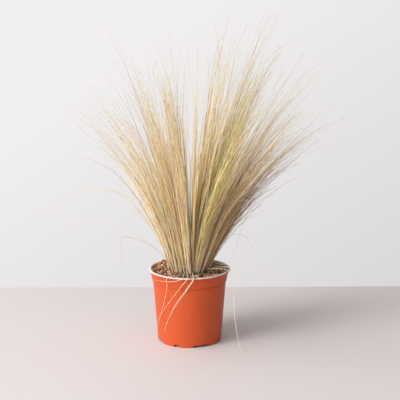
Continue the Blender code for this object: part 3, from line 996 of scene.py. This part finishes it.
class GRASS_OT_crown(bpy.types.Operator):
    """Fill the foot of the clump with a knot and short dry sheaths"""

    bl_idname = "grass.crown"
    bl_label = "Crown"

    def execute(self, context):
        finished(self.knot(), "dry_sheath", "crown")
        finished(self.sheaths(context.scene.grass_leaves), "dry_sheath")
        return {"FINISHED"}

    def sheaths(self, settings):
        """Short dry sheaths between the leaves' feet."""
        random = np.random.default_rng(41)
        count = SHEATHS
        turn = random.uniform(0, 2 * math.pi, count)
        out = (CROWN_RADIUS - 0.0045) * np.sqrt(random.random(count))
        feet = np.stack([out * np.cos(turn), out * np.sin(turn), np.full(count, CROWN_TOP - LEAF_SEAT)], -1)
        foot, tip = leans(feet[:, 0], feet[:, 1])
        foot = FOOT_STEEPER * foot + random.normal(0, 6, (count, 2))
        tip = FOOT_STEEPER * tip + random.normal(0, 8, (count, 2))
        lengths = random.uniform(*SHEATH_LENGTHS, count)
        steps = 6
        lines = grow(feet, foot, tip, random.normal(0, 8, (count, 2)), lengths, steps)
        girth = taper(steps + 1, 1.3, 0.3)[None, :] * random.uniform(0.7, 1.6, count)[:, None]
        carried = (lines, girth, random.integers(0, KINDS, count), shares(count, steps + 1))
        return leaf_blades("crown_sheaths", carried, sheath_material(settings), SHEATH_WIDTH)

    def knot(self):
        """The uneven top of the crown, which shows between the leaves' feet."""
        def top(radius, angle):
            x, y = radius * math.cos(angle), radius * math.sin(angle)
            return CROWN_TOP - 0.0012 + 0.0010 * math.sin(900 * x + 1) * math.sin(1000 * y)

        low, edge = CROWN_LOW.z, CROWN_RADIUS - 0.0003
        rings = [(0.5 * edge, low), (edge, low), (edge, CROWN_TOP - 0.003)]
        rings += [(edge * (1 - 0.05 * i), top) for i in range(1, 19)]
        return new_object("crown_knot", turned("crown_knot", rings, 96), knot_material())


def bridge(bm, first, second, material=0):
    """A band of faces between two loops of as many vertices."""
    for i in range(len(first)):
        j = (i + 1) % len(first)
        face = bm.faces.new((first[i], first[j], second[j], second[i]))
        face.material_index = material


def mesh_from(bm, name):
    """A mesh of all that has been drawn, which is then freed."""
    mesh = bpy.data.meshes.new(name)
    bm.to_mesh(mesh)
    bm.free()
    return mesh


def turned(name, rings, segments, wobble=None, faces_of=None):
    """A closed solid of revolution from (radius, height or function) rings, lowest first."""
    bm = bmesh.new()
    loops = []
    for index, (radius, height) in enumerate(rings):
        loop = []
        for i in range(segments):
            angle = 2 * math.pi * i / segments
            z = height(radius, angle) if callable(height) else height
            r = radius + (wobble(index, angle) if wobble else 0)
            loop.append(bm.verts.new((r * math.cos(angle), r * math.sin(angle), z)))
        loops.append(loop)
    for index, (lower, upper) in enumerate(zip(loops, loops[1:])):
        bridge(bm, lower, upper, faces_of(index) if faces_of else 0)
    for loop in (loops[0], loops[-1]):
        middle = bm.verts.new((0, 0, sum(v.co.z for v in loop) / segments))
        for i in range(segments):
            bm.faces.new((loop[i], loop[(i + 1) % segments], middle))
    bmesh.ops.recalc_face_normals(bm, faces=bm.faces)
    mesh = mesh_from(bm, name)
    mesh.shade_smooth()
    mesh.set_sharp_from_angle(angle=math.radians(38))
    return mesh


def foot_height(radius, angle):
    """Height of the skirt's lower edge: the ground, or a notch's top."""
    degrees = math.degrees(angle)
    for k in range(NOTCHES):
        width = WIDE_NOTCH_ANGLE if k % 2 == 0 else NARROW_NOTCH_ANGLE
        away = abs((degrees - FIRST_WIDE_NOTCH - 360 * k / NOTCHES + 180) % 360 - 180)
        if away < width / 2:
            return NOTCH_HEIGHT
    return 0.0


class GRASS_OT_pot(bpy.types.Operator):
    """Mould the pot with its rolled lip, band, step, notches and drain holes"""

    bl_idname = "grass.pot"
    bl_label = "Nursery Pot"

    def execute(self, context):
        settings = context.scene.grass_pot
        band_top = POT_HEIGHT - LIP_DEPTH
        floor = FLOOR_UNDERSIDE + FLOOR_THICKNESS
        outside = [
            (0.4 * DRAIN_CIRCLE, FLOOR_UNDERSIDE),
            (BASE_RADIUS - SKIRT_WIDTH - 0.0004, FLOOR_UNDERSIDE),
            (BASE_RADIUS - SKIRT_WIDTH, FLOOR_UNDERSIDE - 0.0003),
            (BASE_RADIUS - SKIRT_WIDTH, foot_height),
            (BASE_RADIUS - 0.0002, foot_height),
        ]
        outside += [(outer_radius(z), z) for z in (0.0042, 0.0048)]
        outside += [(outer_radius(BAND_BOTTOM * k / 16), BAND_BOTTOM * k / 16) for k in range(1, 16)]
        ledge = BAND_BOTTOM + STEP_HEIGHT
        outside += [
            (BODY_TOP_RADIUS, BAND_BOTTOM - 0.0006),
            (BODY_TOP_RADIUS - GROOVE_DEPTH, BAND_BOTTOM),
            (BODY_TOP_RADIUS - GROOVE_DEPTH, ledge - 0.0006),
            (BAND_BOTTOM_RADIUS + 0.0001, ledge - LEDGE_REACH),
            (BAND_BOTTOM_RADIUS + LEDGE_REACH, ledge),
            (BAND_BOTTOM_RADIUS + LEDGE_REACH, ledge + 0.0008),
        ]
        outside += [(outer_radius(z), z) for z in (0.101, 0.104, 0.108, 0.111, band_top - 0.0004)]
        lip = []
        for k in range(9):
            angle = math.radians(-80 + 190 * k / 8)
            half = 0.5 * (LIP_DEPTH - 0.0002)
            reach = LIP_RADIUS - BAND_TOP_RADIUS - 0.0004
            radius = LIP_RADIUS - reach + reach * math.cos(angle)
            lip.append((radius, POT_HEIGHT - half + half * math.sin(angle)))
        inside = [
            (BAND_TOP_RADIUS - 0.0006, POT_HEIGHT - 0.0002),
            (BAND_TOP_RADIUS - WALL, POT_HEIGHT - 0.0012),
            (BAND_BOTTOM_RADIUS - WALL, BAND_BOTTOM + STEP_HEIGHT),
            (BODY_TOP_RADIUS - WALL, BAND_BOTTOM),
            (outer_radius(floor) - WALL, floor),
            (0.4 * DRAIN_CIRCLE, floor),
        ]
        rings = outside + lip + inside
        first_white = len(outside) + len(lip) // 2

        def wobble(index, angle):
            if index < len(outside) or index >= len(outside) + len(lip):
                return 0.0
            slow = 0.00022 * math.sin(7 * angle + 1)
            return slow + 0.00012 * math.sin(19 * angle) + 0.00010 * math.sin(43 * angle)

        mesh = turned("pot", rings, 240, wobble, lambda index: 1 if index >= first_white else 0)
        pot = new_object("pot_shell", mesh, orange_material(settings), liner_material(settings))
        self.drill(pot)
        finished(pot, "orange_plastic", "nursery_pot")
        return {"FINISHED"}

    def drill(self, pot):
        """Drain holes through the floor."""
        bm = bmesh.new()
        for k in range(DRAIN_HOLES):
            angle = math.radians(FIRST_DRAIN_HOLE + 360 * k / DRAIN_HOLES)
            made = bmesh.ops.create_cone(
                bm, cap_ends=True, segments=28, radius1=DRAIN_RADIUS, radius2=DRAIN_RADIUS,
                depth=6 * FLOOR_THICKNESS,
            )
            centre = (DRAIN_CIRCLE * math.cos(angle), DRAIN_CIRCLE * math.sin(angle), FLOOR_UNDERSIDE)
            bmesh.ops.translate(bm, verts=made["verts"], vec=centre)
        cutter = new_object("drill", mesh_from(bm, "drill"))
        cut = pot.modifiers.new("Drill", "BOOLEAN")
        cut.object = cutter
        cut.operation = "DIFFERENCE"
        graph = bpy.context.evaluated_depsgraph_get()
        pot.data = bpy.data.meshes.new_from_object(pot.evaluated_get(graph), depsgraph=graph)
        pot.modifiers.clear()
        bpy.data.objects.remove(cutter)


def chunk_group():
    """Scatters bark chunks over the soil."""
    inputs = (
        ("Density", "Float"), ("Smallest", "Float"), ("Largest", "Float"), ("Seed", "Int"),
        ("Material", "Material"),
    )
    tree, start = node_group("Bark Chunks", inputs)
    settings = {"distribute_method": "RANDOM"}
    sockets = {"Mesh": start.out("Geometry"), "Density": start.out("Density"), "Seed": start.out("Seed")}
    points = tree.add("GeometryNodeDistributePointsOnFaces", settings, sockets)
    bit = tree.add("GeometryNodeMeshIcoSphere", {}, {"Radius": 1.0, "Subdivisions": 2})
    spin = random_value(tree, (-3.14, -3.14, -3.14), (3.14, 3.14, 3.14), 1)
    form = random_value(tree, (0.55, 0.35, 0.25), (1.6, 0.9, 0.6), 2)
    size = random_number(tree, start.out("Smallest"), start.out("Largest"), 3)
    scale = tree.add("ShaderNodeVectorMath", {"operation": "SCALE"}, {0: form, "Scale": size})
    sockets = {"Points": points, "Instance": bit, "Rotation": spin, "Scale": scale}
    chunks = tree.add("GeometryNodeInstanceOnPoints", {}, sockets)
    chunks = store(tree, chunks, "tint", random_number(tree, 0.0, 1.0, 4), "INSTANCE")
    chunks = tree.add("GeometryNodeRealizeInstances", {}, {"Geometry": chunks})
    rough = tree.add("ShaderNodeTexNoise", {}, {"Scale": 520.0, "Detail": 2.0})
    normal = tree.add("GeometryNodeInputNormal")
    bumps = (rough - 0.5) * 0.0024
    push = tree.add("ShaderNodeVectorMath", {"operation": "SCALE"}, {0: normal, "Scale": bumps})
    chunks = tree.add("GeometryNodeSetPosition", {}, {"Geometry": chunks, "Offset": push})
    end_group(tree, chunks, start.out("Material"))
    return tree


def random_value(tree, low, high, seed):
    sockets = {0: low, 1: high, "Seed": seed}
    return tree.add("FunctionNodeRandomValue", {"data_type": "FLOAT_VECTOR"}, sockets)


def random_number(tree, low, high, seed):
    sockets = {2: low, 3: high, "Seed": seed}
    return tree.add("FunctionNodeRandomValue", {"data_type": "FLOAT"}, sockets, out=1)


def soil_height(radius, angle):
    """Surface of the soil: lumps and crumbs, and a mound at the left towards the back."""
    x, y = radius * math.cos(angle), radius * math.sin(angle)
    lumps = math.sin(230 * x + 0.7) * math.cos(260 * y - 0.4) + 0.7 * math.sin(410 * x - 350 * y)
    crumbs = math.sin(1500 * x + 3 * math.sin(700 * y)) * math.sin(1300 * y + 2 * math.sin(900 * x))
    away = math.hypot(x - MOUND_CENTRE[0], y - MOUND_CENTRE[1]) / MOUND_RADIUS
    return SOIL_EDGE + 0.0009 * lumps + 0.0005 * crumbs + MOUND_HEIGHT * math.exp(-away * away)


class GRASS_OT_soil(bpy.types.Operator):
    """Fill the pot with soil, bark chunks and fibres"""

    bl_idname = "grass.soil"
    bl_label = "Potting Soil"

    def execute(self, context):
        settings = context.scene.grass_soil
        floor = FLOOR_UNDERSIDE + FLOOR_THICKNESS + SEAT_GAP
        wall = WALL + SEAT_GAP
        edge = outer_radius(SOIL_EDGE) - wall - SEAT_GAP
        sides = [
            (0.0160, floor),
            (outer_radius(floor) - wall - SEAT_GAP, floor),
            (BODY_TOP_RADIUS - wall, BAND_BOTTOM - STEP_HEIGHT),
            (BODY_TOP_RADIUS - wall, BAND_BOTTOM + STEP_HEIGHT),
        ]
        top = [(edge + (CROWN_RADIUS - edge) * k / 22, soil_height) for k in range(23)]
        seat = [(CROWN_RADIUS, CROWN_LOW.z - SEAT_GAP), (0.5 * CROWN_RADIUS, CROWN_LOW.z - SEAT_GAP)]
        mesh = turned("soil", sides + top + seat, 160)
        soil = new_object("soil_plug", mesh, soil_material(settings))
        finished(soil, "potting_soil", "potting_soil")
        self.chunks(settings, edge)
        self.fibres(edge)
        return {"FINISHED"}

    def surface(self, edge):
        """The open top of the soil alone, for scattering on."""
        bm = bmesh.new()
        rings, segments = 12, 96
        loops = []
        for k in range(rings + 1):
            radius = edge - 0.0012 + (CROWN_RADIUS - 0.004 - edge) * k / rings
            turn = [2 * math.pi * i / segments for i in range(segments)]
            loop = [(radius * math.cos(a), radius * math.sin(a), soil_height(radius, a)) for a in turn]
            loops.append([bm.verts.new(p) for p in loop])
        for outer, inner in zip(loops, loops[1:]):
            bridge(bm, outer, inner)
        return mesh_from(bm, "soil_top")

    def chunks(self, settings, edge):
        """Bark chunks of many sizes over the soil."""
        thing = new_object("soil_chunks", self.surface(edge))
        values = {
            "Density": settings.chunks, "Smallest": 0.0009, "Largest": 0.0032, "Seed": 5,
            "Material": chunk_material(settings),
        }
        finished(run_group(thing, chunk_group(), values), "potting_soil")

    def fibres(self, edge):
        """Loose fibres and bits of old leaf on the soil."""
        random = np.random.default_rng(77)
        count, steps = FIBRES, 6
        turn = random.uniform(0, 2 * math.pi, count)
        out = random.uniform(CROWN_RADIUS - 0.004, edge - 0.004, count)
        way = random.uniform(0, 2 * math.pi, count)
        lines = np.zeros((count, steps + 1, 3))
        for i in range(count):
            x, y = out[i] * math.cos(turn[i]), out[i] * math.sin(turn[i])
            length = random.uniform(*FIBRE_LENGTHS)
            bend = random.uniform(-0.5, 0.5)
            for k in range(steps + 1):
                reach = min(math.hypot(x, y), edge - 0.001)
                angle = math.atan2(y, x)
                height = soil_height(reach, angle) + (0.0016 + 0.002 * math.sin(math.pi * k / steps))
                lines[i, k] = (reach * math.cos(angle), reach * math.sin(angle), height)
                x += length / steps * math.cos(way[i])
                y += length / steps * math.sin(way[i])
                way[i] += bend
        girth = np.repeat(random.uniform(0.5, 1.3, count)[:, None], steps + 1, 1)
        kinds = (random.uniform(0.05, 0.74, count) ** 0.7 * KINDS).astype(int)
        carried = (lines, girth, kinds, shares(count, steps + 1, 0.2, 0.6))
        finished(leaf_blades("soil_fibres", carried, dry_leaf(), FIBRE_WIDTH), "potting_soil")


class GRASS_OT_stage(bpy.types.Operator):
    """Set the plain floor, backdrop, light and camera"""

    bl_idname = "grass.stage"
    bl_label = "Stage"

    def execute(self, context):
        settings = context.scene.grass_stage
        self.floor(settings.floor)
        powers = (settings.key, settings.top, settings.fill)
        for (name, (place, aim, size)), power in zip(LAMPS.items(), powers):
            self.lamp(name, place, aim, size, power)
        self.surroundings(context.scene, settings.backdrop, settings.ambient)
        context.scene.view_settings.view_transform = "Standard"
        camera = bpy.data.objects.new("camera", bpy.data.cameras.new("camera"))
        context.scene.collection.objects.link(camera)
        camera.data.lens = CAMERA_LENS
        camera.data.sensor_width = SENSOR
        camera.location = CAMERA_PLACE
        camera.rotation_euler = (math.pi / 2 - CAMERA_DOWN, 0, CAMERA_YAW)
        context.scene.camera = camera
        return {"FINISHED"}

    def floor(self, colour):
        """A pale table top whose far edge stands where the photograph's floor ends."""
        left, right, near = -4, 4, -5
        corners = ((left, near, 0), (right, near, 0), (right, FLOOR_END, 0), (left, FLOOR_END, 0))
        mesh = bpy.data.meshes.new("stage_floor")
        mesh.from_pydata(corners, [], [(0, 1, 2, 3)])
        new_object("stage_floor", mesh, floor_material(colour))

    def surroundings(self, scene, backdrop, ambient):
        """A plain backdrop with painted shade, darker downwards and to the right, and softer light from all
        around.
        """
        world = bpy.data.worlds.new("studio")
        world.use_nodes = True
        world.node_tree.nodes.clear()
        tree = Tree(world.node_tree)
        way = tree.add("ShaderNodeTexCoord")
        parts = tree.add("ShaderNodeSeparateXYZ", {}, {0: way})
        around = tree.mix(0.5 + 0.5 * parts, (1.0, 0.985, 0.98), (0.36, 0.355, 0.353))
        light = tree.add("ShaderNodeBackground", {}, {"Color": around, "Strength": ambient})
        # Painted shade on the backdrop: darker downwards and to the right
        bright = 1.0 + 2.1 * parts.out("Z") - 1.4 * parts
        dim = tuple(0.76 * c for c in backdrop)
        shaded_backdrop = tree.mix(bright, dim, backdrop)
        seen = tree.add("ShaderNodeBackground", {}, {"Color": shaded_backdrop, "Strength": 1.0})
        direct = tree.add("ShaderNodeLightPath").out("Is Camera Ray")
        both = tree.add("ShaderNodeMixShader", {}, {0: direct, 1: light, 2: seen})
        tree.add("ShaderNodeOutputWorld", {}, {"Surface": both})
        scene.world = world

    def lamp(self, name, place, aim, size, power):
        light = bpy.data.lights.new(name, "AREA")
        light.shape = "DISK"
        light.size = size
        light.energy = power
        lamp = bpy.data.objects.new(name, light)
        lamp.location = place
        lamp.rotation_euler = (Vector(aim) - Vector(place)).to_track_quat("-Z", "Y").to_euler()
        bpy.context.scene.collection.objects.link(lamp)


class GRASS_PT_panel(bpy.types.Panel):
    """Buttons that build the plant piece by piece"""

    bl_idname = "GRASS_PT_panel"
    bl_label = "Feather Grass"
    bl_space_type = "VIEW_3D"
    bl_region_type = "UI"
    bl_category = "Feather Grass"

    def draw(self, context):
        for operator in OPERATORS:
            self.layout.operator(operator.bl_idname)


OPERATORS = (
    GRASS_OT_tufts, GRASS_OT_bent_leaves, GRASS_OT_crown, GRASS_OT_pot, GRASS_OT_soil, GRASS_OT_stage,
)
SETTINGS = (
    ("grass_leaves", GrassLeafSettings),
    ("grass_pot", GrassPotSettings),
    ("grass_soil", GrassSoilSettings),
    ("grass_stage", GrassStageSettings),
)


def register():
    for name, settings in SETTINGS:
        bpy.utils.register_class(settings)
        setattr(bpy.types.Scene, name, bpy.props.PointerProperty(type=settings))
    for thing in (*OPERATORS, GRASS_PT_panel):
        bpy.utils.register_class(thing)


def unregister():
    for thing in reversed((*OPERATORS, GRASS_PT_panel)):
        bpy.utils.unregister_class(thing)
    for name, settings in reversed(SETTINGS):
        delattr(bpy.types.Scene, name)
        bpy.utils.unregister_class(settings)


def main():
    register()
    bpy.ops.grass.stage()
    bpy.ops.grass.tufts()
    bpy.ops.grass.bent_leaves()
    bpy.ops.grass.crown()
    bpy.ops.grass.pot()
    bpy.ops.grass.soil()


if __name__ == "__main__":
    main()
